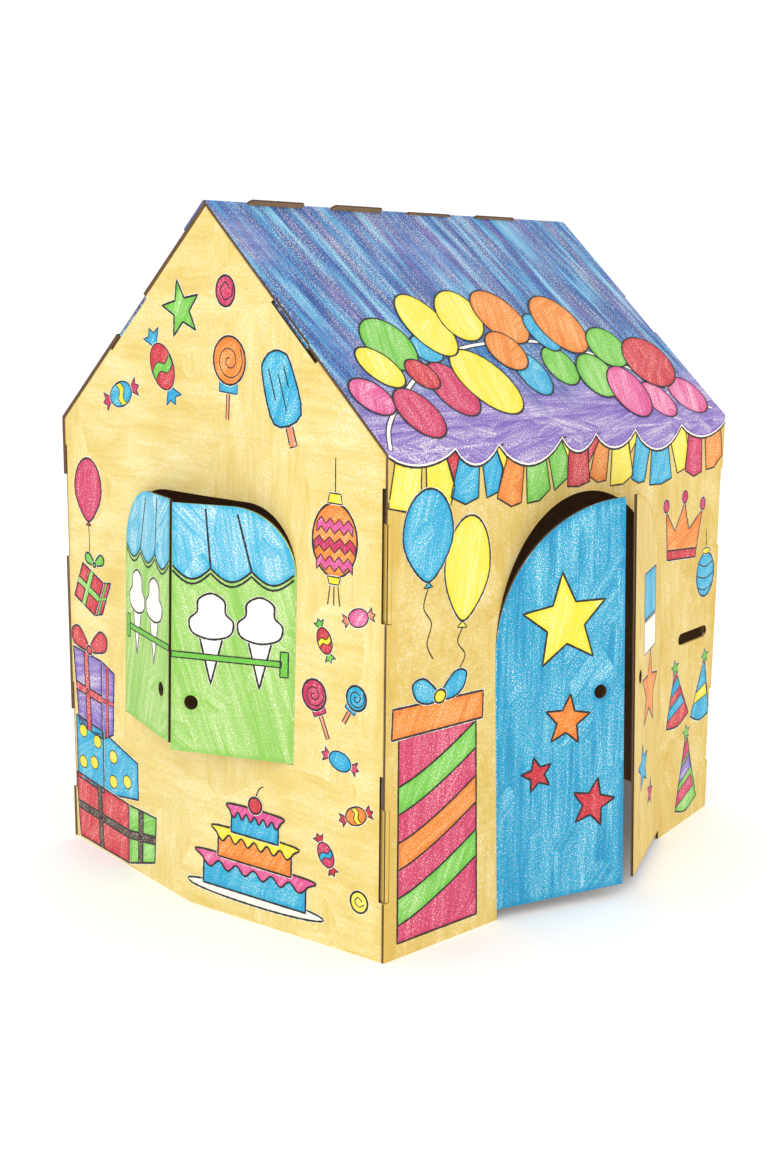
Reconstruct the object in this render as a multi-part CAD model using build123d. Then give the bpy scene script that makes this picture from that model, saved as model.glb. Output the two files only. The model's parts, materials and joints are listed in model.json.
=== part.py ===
from build123d import *
import math
import os

# The house, over the outer faces of its boards
WIDTH = 1000.0         # front wall, corner to corner, along X
DEPTH = 820.0          # gable wall, corner to corner, along Y
EAVE = 820.0           # height of the walls
RIDGE = 1200.0         # height at which the outer faces of the two roof slopes meet

# The corrugated board and its folds
BOARD = 5.0            # thickness
FOLD = 5.5             # outside radius of a fold
CRUSHED = 2.0          # rounding of an edge that was cut along a crease
SEAM = 0.3             # gap between two boards that lie against each other
CREASE_WIDTH = 5.0     # a pressed crease, across
CREASE_DEPTH = 0.7     # a pressed crease, into the board

# The feet of the walls stand out of line, because nothing holds them to a floor
GABLE_KICK = 55.0      # gable wall, at its middle crease
DOOR_KICK = 30.0       # front wall, at both sides of the doorway

# Flanges folded inwards round each gable sheet
FLANGE = 36.0          # width, from the outer face of the gable
FLANGE_TAPER = 25.0    # length of the sloping end of a flange

# Hooked tabs of the front and back sheets, and their slots along the folds of the gable sheets
TAB_LENGTH = 155.0     # along a wall's corner
TAB_FEET = (102.0, 558.0)
ROOF_TAB_LENGTH = 103.0
ROOF_TAB_FOOT = 233.0  # up the slope from the eave
TAB_REACH = 55.0       # how far a tab goes in, from the corner
SLOT_WIDTH = 12.0      # from the corner to the slot's far edge
SLOT_SPARE = 55.0      # the slot is longer than its tab, so that the hook can be dropped in
ROOF_SLOT_SPARE = 32.0
HOOK = 30.0            # how far a hook reaches past the end of its slot
ROOF_HOOK = 20.0
RELIEF = 1.2           # slit that frees the foot of a tab from its wall

# Ridge: the front sheet folds over the back slope, whose tabs stand up through slots in the fold
RIDGE_FLANGE = 70.0
RIDGE_TAB_LENGTH = 126.0
RIDGE_TAB_FIRST = -345.0
RIDGE_TAB_PITCH = 200.0
RIDGE_TAB_RISES = (10.0, 10.0, 4.0, 6.0)
RIDGE_TAB_CHAMFER = 6.0

# Doorway and its two leaves
DOOR_CENTRE = 12.0
DOOR_LEAF = 257.0      # width of a leaf, which is also the radius of the arch
DOOR_TOP = 715.0
DOOR_FOOT = 17.0       # height of the leaves' feet above the floor
DOOR_AJAR = (23.0, 22.0)   # how far the left and the right leaf stand open, degrees
DOOR_HOLE = (207.0, 361.0)

# Window in each gable wall and its two shutters
SHUTTER = 220.0        # width of a shutter
SILL = 293.0
WINDOW_TOP = 715.0
SHOULDER = 115.0       # rounding of the window's upper corners
SHUTTER_AJAR = (22.5, 16.0)  # left gable, front and back shutter; the right gable's are shut
SHUTTER_HOLE = (183.0, 87.0)

FINGER_HOLE = 25.0
LEAF_GAP = 1.5         # gap left by the cut round a leaf
HINGE_GAP = 0.4        # gap at the inner side of a leaf's crease

# Letter slot in the front wall
LETTER_CENTRE = (402.0, 386.0)
LETTER_SLOT = (120.0, 24.0)

HALF_WIDTH = WIDTH / 2
HALF_DEPTH = DEPTH / 2
PITCH = math.atan2(RIDGE - EAVE, HALF_DEPTH)
SLOPE = math.hypot(RIDGE - EAVE, HALF_DEPTH)
UP_FRONT_SLOPE = Vector(0, math.cos(PITCH), math.sin(PITCH))
UP_BACK_SLOPE = Vector(0, -math.cos(PITCH), math.sin(PITCH))
LEFT = Vector(-1, 0, 0)
LAP = BOARD + SEAM     # how far a gable sheet lies inside the sheets that cover it


def folded_board(outer, radii):
    """Section of a folded board from its outside line, with the board to the line's right."""
    line = FilletPolyline(*outer, radius=radii)
    return make_face(offset(line, BOARD, side=Side.RIGHT, closed=True).edges())


def kicked_wall(foot, head, inward, height):
    """A wall ruled from its line on the floor, where it stands out of line, to its line at the fold."""
    sections = []
    for line, z in ((foot, 0), (head, height)):
        outer = [Vector(x, y, z) for x, y in line]
        inner = [point + inward for point in reversed(outer)]
        sections.append(make_face(Polyline(*outer, *inner, close=True)))
    return loft(sections, ruled=True)


def block(low, high):
    """A box between two opposite corners."""
    size = [b - a for a, b in zip(low, high)]
    return Pos(*low) * Box(*size, align=(Align.MIN, Align.MIN, Align.MIN))


def both_sides(solids, plane):
    """The solids and their mirror images."""
    return [*solids, *(mirror(solid, about=plane) for solid in solids)]


# A tab's corner plane has its origin at the tab's foot, on the outer corner of the house.
# Its x points out through the gable, its y out through the wall or roof slope, its z along the fold.
def hooked_tab(corner, length, hook):
    """A tab that wraps round the corner, dives through its slot and hooks behind the gable."""
    leg = BOARD + 2 * SEAM
    line = [(-2 * BOARD, 0), (0, 0), (-leg, 1 - SLOT_WIDTH), (-leg, -TAB_REACH)]
    tab = extrude(folded_board(line, [BOARD + SEAM, BOARD]), length)
    barb = Polyline(
        (-leg, -SLOT_WIDTH - BOARD, 0),
        (-leg, -SLOT_WIDTH - 2 * BOARD, -hook),
        (-leg, BOARD - TAB_REACH, -hook),
        (-leg, -TAB_REACH, 0),
        close=True,
    )
    tab += extrude(make_face(barb), BOARD, dir=(-1, 0, 0))
    return corner * tab


def tab_clearance(corner, length):
    """What a tab's own sheet loses at the corner, with a slit that frees the tab's foot."""
    return corner * block((-2 * BOARD, -BOARD - 1, -RELIEF), (1, 2, length))


def tab_slot(corner, length, spare):
    """The slot along the gable's fold, with the spare length that lets the hook in."""
    low, high = min(spare, 0), max(spare, 0)
    return corner * block((-2 * BOARD - 2, -SLOT_WIDTH, low - SEAM), (1, -BOARD + SEAM, length + high))


WALL_CORNERS = [Plane((-HALF_WIDTH, -HALF_DEPTH, z), x_dir=LEFT, z_dir=(0, 0, 1)) for z in TAB_FEET]
ROOF_CORNER = Plane(
    Vector(-HALF_WIDTH, -HALF_DEPTH, EAVE) + UP_FRONT_SLOPE * ROOF_TAB_FOOT,
    x_dir=LEFT,
    z_dir=UP_FRONT_SLOPE,
)
TABS = [hooked_tab(corner, TAB_LENGTH, HOOK) for corner in WALL_CORNERS]
TABS.append(hooked_tab(ROOF_CORNER, ROOF_TAB_LENGTH, ROOF_HOOK))
CLEARANCES = [tab_clearance(corner, TAB_LENGTH) for corner in WALL_CORNERS]
CLEARANCES.append(tab_clearance(ROOF_CORNER, ROOF_TAB_LENGTH))
SLOTS = [tab_slot(corner, TAB_LENGTH, SLOT_SPARE) for corner in WALL_CORNERS]
SLOTS.append(tab_slot(ROOF_CORNER, ROOF_TAB_LENGTH, -ROOF_SLOT_SPARE))


def with_tabs(sheet, turn):
    """Give a sheet its hooked tabs on both sides; the back sheet's are turned half a turn."""
    for clearance in both_sides(CLEARANCES, Plane.YZ):
        sheet -= turn * clearance
    for tab in both_sides(TABS, Plane.YZ):
        sheet += turn * tab
    return sheet


# Ridge: the front sheet's outer face rises one board above the back slope before it folds over it.
LIFT = BOARD / math.cos(PITCH)
RIDGE_FOLD = Vector(0, LIFT / (2 * math.tan(PITCH)), RIDGE + LIFT / 2)
BACK_TOP = RIDGE_FOLD - Vector(0, 0, LIFT) - UP_BACK_SLOPE * 3 * SEAM


def ridge_tab_place(index):
    """Plane at the middle of a ridge tab's root, with z up the back slope and y out of it."""
    centre = RIDGE_TAB_FIRST + index * RIDGE_TAB_PITCH
    return Plane((centre, BACK_TOP.Y, BACK_TOP.Z), x_dir=(1, 0, 0), z_dir=UP_BACK_SLOPE)


def ridge_tab(index):
    """A tab that stands up from the back slope's top edge, with one corner cut off."""
    half = RIDGE_TAB_LENGTH / 2
    top = BOARD + RIDGE_TAB_RISES[index]
    outline = Polyline(
        (-half, 0, -1),
        (half, 0, -1),
        (half, 0, top),
        (RIDGE_TAB_CHAMFER - half, 0, top),
        (-half, 0, top - RIDGE_TAB_CHAMFER),
        close=True,
    )
    return ridge_tab_place(index) * extrude(make_face(outline), BOARD, dir=(0, -1, 0))


def ridge_slot(index):
    half = RIDGE_TAB_LENGTH / 2 + SEAM
    cutter = block((-half, -BOARD - SEAM, -BOARD), (half, SEAM, 3 * BOARD))
    return ridge_tab_place(index) * cutter


def leaf_outline(width, height, shoulder):
    """A leaf with its crease up the local Y axis and its upper corner rounded on that side."""
    corner = Pos(0, height - shoulder) * Rectangle(shoulder, shoulder, align=(Align.MIN, Align.MIN))
    corner -= Pos(shoulder, height - shoulder) * Circle(shoulder)
    return Rectangle(width, height, align=(Align.MIN, Align.MIN)) - corner


def opening_outline(width, height, shoulder):
    """The cut for a pair of leaves, with its middle on the local Y axis."""
    half = Pos(-width, 0) * leaf_outline(width, height, shoulder)
    return half + mirror(half, about=Plane.YZ)


def leaf(crease, side, width, height, shoulder, hole, ajar):
    """A leaf in its opening, then swung outwards about the crease.

    crease has its origin at the crease's foot, its y up the crease and its z outwards.
    side is 1 where the closed leaf lies along the plane's x, and -1 where it lies the other way.
    """
    outline = leaf_outline(width - HINGE_GAP - LEAF_GAP / 2, height - 2 * LEAF_GAP, shoulder - LEAF_GAP)
    outline = Pos(HINGE_GAP, LEAF_GAP) * outline - Pos(*hole) * Circle(FINGER_HOLE / 2)
    if side < 0:
        outline = mirror(outline, about=Plane.YZ)
    closed = extrude(crease * outline, BOARD, dir=-crease.z_dir)
    return closed.rotate(Axis(crease.origin, crease.y_dir), -side * ajar)


def crease_groove(start, end, outwards):
    """A cutter for a crease pressed into a board's outer face."""
    radius = (CREASE_WIDTH ** 2 / 4 + CREASE_DEPTH ** 2) / (2 * CREASE_DEPTH)
    run = end - start
    middle = start + outwards * (radius - CREASE_DEPTH)
    return Plane(middle, z_dir=run) * Cylinder(radius, run.length, align=(Align.CENTER, Align.CENTER, Align.MIN))


# Front sheet: wall, eave fold, near roof slope, ridge fold and ridge flange in one piece
KNEE = EAVE - FOLD
JAMBS = (DOOR_CENTRE - DOOR_LEAF, DOOR_CENTRE + DOOR_LEAF)


def door_crease(x):
    """The crease that a door leaf turns on, which leans back with the kicked-out wall."""
    up = Vector(0, DOOR_KICK, KNEE).normalized()
    foot = Vector(x, -HALF_DEPTH - DOOR_KICK, 0) + up * DOOR_FOOT
    return Plane(foot, x_dir=(1, 0, 0), z_dir=Vector(1, 0, 0).cross(up))


def front_sheet():
    line_at_fold = [(-HALF_WIDTH, -HALF_DEPTH), *((x, -HALF_DEPTH) for x in JAMBS), (HALF_WIDTH, -HALF_DEPTH)]
    line_at_foot = [line_at_fold[0], *((x, -HALF_DEPTH - DOOR_KICK) for x in JAMBS), line_at_fold[-1]]
    wall = kicked_wall(line_at_foot, line_at_fold, Vector(0, BOARD, 0), KNEE)
    corners = wall.edges().filter_by(lambda e: abs(abs(e.center().X) - HALF_WIDTH) < 1 and e.length > EAVE / 2)
    wall = fillet(corners.sort_by(Axis.Y)[:2], CRUSHED)

    flange_end = RIDGE_FOLD - UP_BACK_SLOPE * RIDGE_FLANGE
    line = [(-HALF_DEPTH, KNEE), (-HALF_DEPTH, EAVE), (RIDGE_FOLD.Y, RIDGE_FOLD.Z), (flange_end.Y, flange_end.Z)]
    roof = extrude(Plane.YZ.offset(-HALF_WIDTH) * folded_board(line, [FOLD, FOLD]), WIDTH)
    on_side = roof.edges().filter_by(lambda e: abs(abs(e.center().X) - HALF_WIDTH) < 1 and e.length > SLOPE / 2)
    roof = fillet(on_side.sort_by(Axis.Z)[-2:], CRUSHED)

    sheet = with_tabs(wall + roof, Location())
    for index in range(len(RIDGE_TAB_RISES)):
        sheet -= ridge_slot(index)

    face_on = Plane((DOOR_CENTRE, 0, 0), x_dir=(1, 0, 0), z_dir=(0, -1, 0))
    doorway = opening_outline(DOOR_LEAF, DOOR_TOP, DOOR_LEAF)
    sheet -= extrude(face_on * doorway, DEPTH)
    letter_plane = Plane((LETTER_CENTRE[0], 0, LETTER_CENTRE[1]), x_dir=(1, 0, 0), z_dir=(0, -1, 0))
    sheet -= extrude(letter_plane * SlotOverall(*LETTER_SLOT), DEPTH)
    return sheet


def back_sheet():
    line = [(BACK_TOP.Y, BACK_TOP.Z), (HALF_DEPTH, EAVE), (HALF_DEPTH, 0)]
    sheet = extrude(Plane.YZ.offset(-HALF_WIDTH) * folded_board(line, [FOLD]), WIDTH)
    sheet = with_tabs(sheet, Rot(0, 0, 180))
    for index in range(len(RIDGE_TAB_RISES)):
        sheet += ridge_tab(index)
    return sheet


# Gable sheets: a wall with a middle crease, a gable above the eave crease, and four flanges
GABLE_CORNER = HALF_DEPTH - LAP
GABLE_EAVE = EAVE + LAP * math.tan(PITCH) - LAP / math.cos(PITCH)
GABLE_TOP = RIDGE - LAP / math.cos(PITCH)


def gable_face(y, z):
    """A point on the left gable wall's outer face, which is kicked out along its middle crease."""
    kick = GABLE_KICK * (1 - z / GABLE_EAVE) * (1 - abs(y) / GABLE_CORNER)
    return Vector(-HALF_WIDTH - kick, y, z)


def shutter_crease(y):
    """The crease that a shutter of the left gable turns on, in the plane that the shutter closes to."""
    foot = gable_face(y, SILL)
    up = (gable_face(y, WINDOW_TOP) - foot).normalized()
    middle = (SILL + WINDOW_TOP) / 2
    across = (gable_face(-SHUTTER, middle) - gable_face(0, middle)) if y < 0 else (
        gable_face(0, middle) - gable_face(SHUTTER, middle))
    outwards = across.cross(up).normalized()
    return Plane(foot, x_dir=up.cross(outwards), z_dir=outwards)


def flange(plane, length, gaps, tapers):
    """A flange with sloping ends; the plane's x runs along the fold and its y into the house."""
    outline = Polyline(
        (gaps[0], BOARD - 1),
        (length - gaps[1], BOARD - 1),
        (length - gaps[1] - tapers[1], FLANGE),
        (gaps[0] + tapers[0], FLANGE),
        close=True,
    )
    return extrude(plane * make_face(outline), BOARD, dir=plane.z_dir)


def gable_sheet():
    """The left gable sheet; the right one is its mirror image."""
    line_at_fold = [(-HALF_WIDTH, GABLE_CORNER), (-HALF_WIDTH, 0), (-HALF_WIDTH, -GABLE_CORNER)]
    line_at_foot = [(gable_face(y, 0).X, y) for _, y in line_at_fold]
    wall = kicked_wall(line_at_foot, line_at_fold, Vector(BOARD, 0, 0), GABLE_EAVE)
    corners = wall.edges().filter_by(lambda e: abs(e.center().Y) > 1 and e.length > EAVE / 2)
    wall = fillet(corners.sort_by(Axis.X)[:2], BOARD - SEAM)

    triangle = Polyline(
        (-HALF_WIDTH, -GABLE_CORNER, GABLE_EAVE),
        (-HALF_WIDTH, GABLE_CORNER, GABLE_EAVE),
        (-HALF_WIDTH, 0, GABLE_TOP),
        close=True,
    )
    gable = extrude(make_face(triangle), BOARD, dir=(1, 0, 0))
    slopes = gable.edges().filter_by(lambda e: e.center().X < 1 - HALF_WIDTH and e.center().Z > GABLE_EAVE + 1)
    gable = fillet(slopes, BOARD - SEAM)

    corner = Vector(-HALF_WIDTH, -GABLE_CORNER, 0)
    upright = Plane(corner, x_dir=(0, 0, 1), z_dir=(0, 1, 0))
    eave_corner = corner + Vector(0, 0, GABLE_EAVE)
    raking = Plane(eave_corner, x_dir=UP_FRONT_SLOPE, z_dir=UP_FRONT_SLOPE.cross(Vector(1, 0, 0)))
    rake = math.hypot(GABLE_CORNER, GABLE_TOP - GABLE_EAVE)
    flanges = [
        flange(upright, GABLE_EAVE, (0, BOARD), (0, FLANGE_TAPER)),
        flange(raking, rake, (BOARD, 2 * BOARD), (FLANGE_TAPER, FLANGE_TAPER)),
    ]
    sheet = wall + gable
    for piece in both_sides(flanges, Plane.XZ):
        sheet += piece

    level = [Vector(-HALF_WIDTH, y, GABLE_EAVE) for y in (-GABLE_CORNER, GABLE_CORNER)]
    ridge_line = [gable_face(0, z) for z in (0, GABLE_EAVE)]
    sheet -= crease_groove(*level, LEFT)
    sheet -= crease_groove(*ridge_line, LEFT)
    sheet -= crease_groove(ridge_line[1], Vector(-HALF_WIDTH, 0, GABLE_TOP), LEFT)

    for slot in both_sides(SLOTS, Plane.XZ):
        sheet -= slot
    face_on = Plane((0, 0, SILL), x_dir=(0, -1, 0), z_dir=LEFT)
    window = opening_outline(SHUTTER, WINDOW_TOP - SILL, SHOULDER)
    sheet -= extrude(face_on * window, WIDTH)
    return sheet


def door_leaf(side):
    """side is 1 for the leaf on the left of the doorway and -1 for the one on its right."""
    crease = door_crease(DOOR_CENTRE - side * DOOR_LEAF)
    ajar = DOOR_AJAR[0 if side > 0 else 1]
    return leaf(crease, side, DOOR_LEAF, DOOR_TOP - DOOR_FOOT, DOOR_LEAF, DOOR_HOLE, ajar)


def shutter(side, ajar):
    """A shutter of the left gable: side is -1 for the one nearer the front and 1 for the other."""
    crease = shutter_crease(side * SHUTTER)
    return leaf(crease, side, SHUTTER, WINDOW_TOP - SILL, SHOULDER, SHUTTER_HOLE, ajar)


def build():
    left_gable = gable_sheet()
    return {
        "front_sheet": front_sheet(),
        "back_sheet": back_sheet(),
        "left_gable_sheet": left_gable,
        "right_gable_sheet": mirror(left_gable, about=Plane.YZ),
        "door_leaf_left": door_leaf(1),
        "door_leaf_right": door_leaf(-1),
        "left_shutter_front": shutter(-1, SHUTTER_AJAR[0]),
        "left_shutter_back": shutter(1, SHUTTER_AJAR[1]),
        "right_shutter_front": mirror(shutter(-1, 0), about=Plane.YZ),
        "right_shutter_back": mirror(shutter(1, 0), about=Plane.YZ),
    }


os.makedirs("parts", exist_ok=True)
for node, shape in build().items():
    export_step(shape, f"parts/{node}.step")
    print(node, round(shape.volume), "mm3")
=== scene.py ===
# %% [markdown]
# # A card playhouse, coloured in with crayon
# The house is made of four die-cut sheets of corrugated board. Their flaps are locked by hooked tabs,
# and their printed outlines were filled in by hand with wax crayon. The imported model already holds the
# boards at their real size, so this lesson only adds what the eye sees: the coloured faces, the raw
# fluted edges, and light.

# %% Load the frame
import json
import math
import random

import bpy
import numpy as np
from mathutils import Matrix, Vector
from mathutils.bvhtree import BVHTree
from mathutils.geometry import delaunay_2d_cdt

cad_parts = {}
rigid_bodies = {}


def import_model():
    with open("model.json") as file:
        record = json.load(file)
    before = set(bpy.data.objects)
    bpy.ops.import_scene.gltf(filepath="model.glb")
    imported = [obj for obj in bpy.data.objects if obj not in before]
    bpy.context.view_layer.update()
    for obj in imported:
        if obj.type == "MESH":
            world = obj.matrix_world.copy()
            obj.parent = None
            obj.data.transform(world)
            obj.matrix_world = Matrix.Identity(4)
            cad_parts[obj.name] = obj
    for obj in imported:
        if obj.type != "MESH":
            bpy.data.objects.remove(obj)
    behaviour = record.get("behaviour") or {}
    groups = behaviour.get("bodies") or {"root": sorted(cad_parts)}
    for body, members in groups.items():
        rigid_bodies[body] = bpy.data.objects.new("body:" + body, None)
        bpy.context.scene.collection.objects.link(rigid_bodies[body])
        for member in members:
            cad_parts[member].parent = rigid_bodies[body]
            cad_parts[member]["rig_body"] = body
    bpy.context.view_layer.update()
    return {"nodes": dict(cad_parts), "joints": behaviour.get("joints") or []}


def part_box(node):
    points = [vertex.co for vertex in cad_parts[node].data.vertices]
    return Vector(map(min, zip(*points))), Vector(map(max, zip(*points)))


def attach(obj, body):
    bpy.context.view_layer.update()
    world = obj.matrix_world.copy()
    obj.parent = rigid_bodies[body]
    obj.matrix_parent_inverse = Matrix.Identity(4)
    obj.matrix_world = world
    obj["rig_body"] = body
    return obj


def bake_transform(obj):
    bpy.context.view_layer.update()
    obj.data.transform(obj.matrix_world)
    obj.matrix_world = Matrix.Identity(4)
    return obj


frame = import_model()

print("boards:", sorted(frame["nodes"]))

# %% [markdown]
# ## The house in numbers
# A drawing on a folded sheet is easiest to plan in the flat, in millimetres, as the printer does. So the
# sizes below are in millimetres, read from the frame where it holds them, and each point is turned to
# metres at the moment it is placed on its board.

# %% Sizes of the folded sheets
MM = 0.001
HALF_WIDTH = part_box("back_sheet")[1].x / MM
HALF_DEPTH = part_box("back_sheet")[1].y / MM
GABLE_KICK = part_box("right_gable_sheet")[1].x / MM - HALF_WIDTH
DOOR_KICK = -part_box("front_sheet")[0].y / MM - HALF_DEPTH
EAVE = 820.0
RIDGE = 1200.0
KNEE = 814.5            # height at which the front wall stops leaning
FOLD = 5.5              # outside radius of the eave fold
BOARD = 5.0
LAP = 5.3               # how far the gables lie inside the other sheets
JAMBS = (-245.0, 269.0)
WALLS = (("left", -1), ("right", 1))    # the gable walls, and the side of the house that each is on
PITCH = math.atan2(RIDGE - EAVE, HALF_DEPTH)
SLOPE = math.hypot(RIDGE - EAVE, HALF_DEPTH)
GABLE_CORNER = HALF_DEPTH - LAP
GABLE_EAVE = EAVE + LAP * math.tan(PITCH) - LAP / math.cos(PITCH)
print(f"roof pitch {math.degrees(PITCH):.1f} degrees, slope {SLOPE:.0f} mm")

# %% [markdown]
# ## The camera
# The photograph looks at the near corner from a little above, with the house slightly left of the
# lens's axis. A long lens keeps the upright folds nearly parallel, and a small shift frames the house
# without tilting it.

# %% Camera
AZIMUTH, ELEVATION, ROLL = (math.radians(angle) for angle in (-48.5085, 11.0016, 0.7061))
DISTANCE = 2.9075
TARGET = Vector((0.004, 0, 0.5253))

back = Vector((
    math.sin(AZIMUTH) * math.cos(ELEVATION),
    -math.cos(AZIMUTH) * math.cos(ELEVATION),
    math.sin(ELEVATION),
))
level_right = Vector((math.cos(AZIMUTH), math.sin(AZIMUTH), 0))
level_up = back.cross(level_right)
right = level_right * math.cos(ROLL) + level_up * math.sin(ROLL)
up = back.cross(right)
lens = bpy.data.cameras.new("camera")
lens.lens = 45.49
lens.shift_x = -0.01305
lens.shift_y = -0.01674
camera = bpy.data.objects.new("camera", lens)
aim = Matrix((right, up, back)).transposed().to_4x4()
camera.matrix_world = Matrix.Translation(TARGET + back * DISTANCE) @ aim
bpy.context.scene.collection.objects.link(camera)
bpy.context.scene.camera = camera
print("camera stands at", [round(x, 2) for x in camera.location])

# %% [markdown]
# ## Nodes in one line
# Every finish here is a small graph. One function adds a node, sets what it needs and links it, so that
# a graph reads like a formula. Colours are written as the sRGB hex values that a paint chart shows, and
# the shader wants linear light, so one function turns them.

# %% Node and colour helpers
def linear(hex_colour):
    """A colour such as #F4E2A2 as linear red, green, blue and alpha."""
    channels = [int(hex_colour[i:i + 2], 16) / 255 for i in (1, 3, 5)]
    return tuple(c / 12.92 if c <= 0.04045 else ((c + 0.055) / 1.055) ** 2.4 for c in channels) + (1.0,)


def add(tree, kind, inputs=(), out=0, **settings):
    """Add a node, set its settings, feed its inputs with values or other sockets, and give back an output."""
    made = tree.nodes.new("ShaderNode" + kind)
    for name, value in settings.items():
        setattr(made, name, value)
    for name, value in dict(inputs).items():
        if isinstance(value, bpy.types.NodeSocket):
            tree.links.new(value, made.inputs[name])
        else:
            made.inputs[name].default_value = value
    return made.outputs[out] if made.outputs else made


def new_tree(name):
    """An empty material and its node tree."""
    material = bpy.data.materials.new(name)
    material.use_nodes = True
    material.node_tree.nodes.clear()
    return material, material.node_tree


PAPER_IOR = 1.45         # of wax and of paper fibre alike
BUMP_STRENGTH = 0.6
WAX_RELIEF, INK_RELIEF, BOARD_RELIEF = 0.15 * MM, 0.05 * MM, 0.2 * MM


def finish_surface(tree, colour, rough, height, depth):
    """Close a graph: a matte surface whose relief is depth metres deep."""
    bump = add(tree, "Bump", {"Height": height, "Distance": depth, "Strength": BUMP_STRENGTH}, out="Normal")
    shader = add(tree, "BsdfPrincipled", {
        "Base Color": colour, "Roughness": rough, "Normal": bump, "IOR": PAPER_IOR,
    })
    add(tree, "OutputMaterial", {"Surface": shader})


print("yellow wax in linear light:", [round(c, 3) for c in linear("#F4E2A2")])

# %% [markdown]
# ## Raw corrugated board
# The unprinted side and every cut edge are unbleached kraft paper: brown, matte, with short fibres. A
# cut shows the board's inside, two liners with a waved sheet between them. The flutes run up the
# sheet, so the wave depends only on the place across the sheet and the depth into it. Drawn that way,
# as a solid pattern, it comes out right at every cut: a wave on a level one, plain lines on an upright
# one, and a stretched wave round an arch. Real fibres are hair thin and are drawn a millimetre wide.

# %% Kraft paper and flutes
FLUTE_PITCH = 8.0 * MM
LINER = 0.5 * MM
MEDIUM = 0.4 * MM        # half the thickness that the waved sheet is drawn with, so that it shows
WASHBOARD = 0.05         # how much the flutes show through the bare liner
FIBRE = (1 / (1.2 * MM), 1 / (1.2 * MM), 1 / (12 * MM))
KRAFT_DARK, KRAFT_LIGHT, FLUTE_SHADOW = linear("#7E5D3F"), linear("#AB8660"), linear("#35251A")


def raw_board(tree, place, depth, across):
    """Colour and height of bare board, at a depth below its printed face and a place across its flutes."""
    fibres = add(tree, "VectorMath", {0: place, 1: FIBRE}, operation="MULTIPLY")
    fibre = add(tree, "TexNoise", {"Vector": fibres, "Scale": 1.0, "Detail": 3.0, "Roughness": 0.65})
    clouds = add(tree, "TexNoise", {"Vector": place, "Scale": 1 / (90 * MM), "Detail": 2.0})
    turn = add(tree, "Math", {0: across, 1: math.tau / FLUTE_PITCH}, operation="MULTIPLY")
    wave = add(tree, "Math", {0: turn}, operation="SINE")
    tone = add(tree, "Math", {0: clouds, 1: 0.35, 2: fibre}, operation="MULTIPLY_ADD")
    tone = add(tree, "Math", {0: wave, 1: WASHBOARD, 2: tone}, operation="MULTIPLY_ADD")
    tone = add(tree, "MapRange", {"Value": tone, "From Min": 0.4, "From Max": 0.95})
    kraft = add(tree, "Mix", {0: tone, 6: KRAFT_DARK, 7: KRAFT_LIGHT}, out=2, data_type="RGBA")
    half = BOARD * MM / 2
    middle = add(tree, "Math", {0: wave, 1: half - LINER, 2: half}, operation="MULTIPLY_ADD")
    away = add(tree, "Math", {0: depth, 1: middle}, operation="SUBTRACT")
    away = add(tree, "Math", {0: away}, operation="ABSOLUTE")
    off_wave = add(tree, "Math", {0: away, 1: MEDIUM}, operation="GREATER_THAN")
    between = add(tree, "Math", {0: depth, 1: half, 2: half - LINER}, operation="COMPARE")
    hollow = add(tree, "Math", {0: off_wave, 1: between}, operation="MULTIPLY")
    colour = add(tree, "Mix", {0: hollow, 6: kraft, 7: FLUTE_SHADOW}, out=2, data_type="RGBA")
    height = add(tree, "Math", {0: fibre, 1: hollow}, operation="SUBTRACT")
    height = add(tree, "Math", {0: wave, 1: 2 * WASHBOARD, 2: height}, operation="MULTIPLY_ADD")
    return colour, height


# %% [markdown]
# ## Wax crayon on white-lined board
# Crayon catches the high points of the paper first, so a light stroke leaves white speckle and a firm
# one nearly fills it. Strokes run in one direction, a few millimetres wide and as long as the hand
# moves. Three stretched noises give the strokes, and a fine noise, the grain of the liner, cuts them
# into speckle. Real grain is about 0.5 mm, and it is drawn 2.4 mm wide so that it shows.

# %% Crayon strokes
PAPER = linear("#FBF7EA")
GRAIN = 2.4 * MM
DRAWN_STROKES = ((4 * MM, 110 * MM, 0.3), (13 * MM, 220 * MM, 0.4), (55 * MM, 170 * MM, 0.3))
BROAD_STROKES = ((8 * MM, 80 * MM, 0.25), (28 * MM, 120 * MM, 0.3), (100 * MM, 150 * MM, 0.45))
ROOF_STROKES = ((5 * MM, 90 * MM, 0.3), (16 * MM, 210 * MM, 0.4), (60 * MM, 160 * MM, 0.3))
ROUGH_PAPER, ROUGH_WAX = 0.85, 0.6


def stroke_pressure(tree, place, strokes):
    """How hard the crayon was pressed, 0 to 1, in strokes along the x of place."""
    bend = add(tree, "TexNoise", {"Vector": place, "Scale": 1 / (160 * MM), "Detail": 1.0}, out="Color")
    bent = add(tree, "VectorMath", {0: bend, 1: (0.012,) * 3, 2: place}, operation="MULTIPLY_ADD")
    total = 0.0
    for width, length, share in strokes:
        thin = add(tree, "VectorMath", {0: bent, 1: (1 / length, 1 / width, 1 / width)}, operation="MULTIPLY")
        noise = add(tree, "TexNoise", {"Vector": thin, "Scale": 1.0, "Detail": 2.0, "Roughness": 0.6})
        total = add(tree, "Math", {0: noise, 1: share, 2: total}, operation="MULTIPLY_ADD")
    return add(tree, "MapRange", {"Value": total, "From Min": 0.37, "From Max": 0.63})


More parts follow.
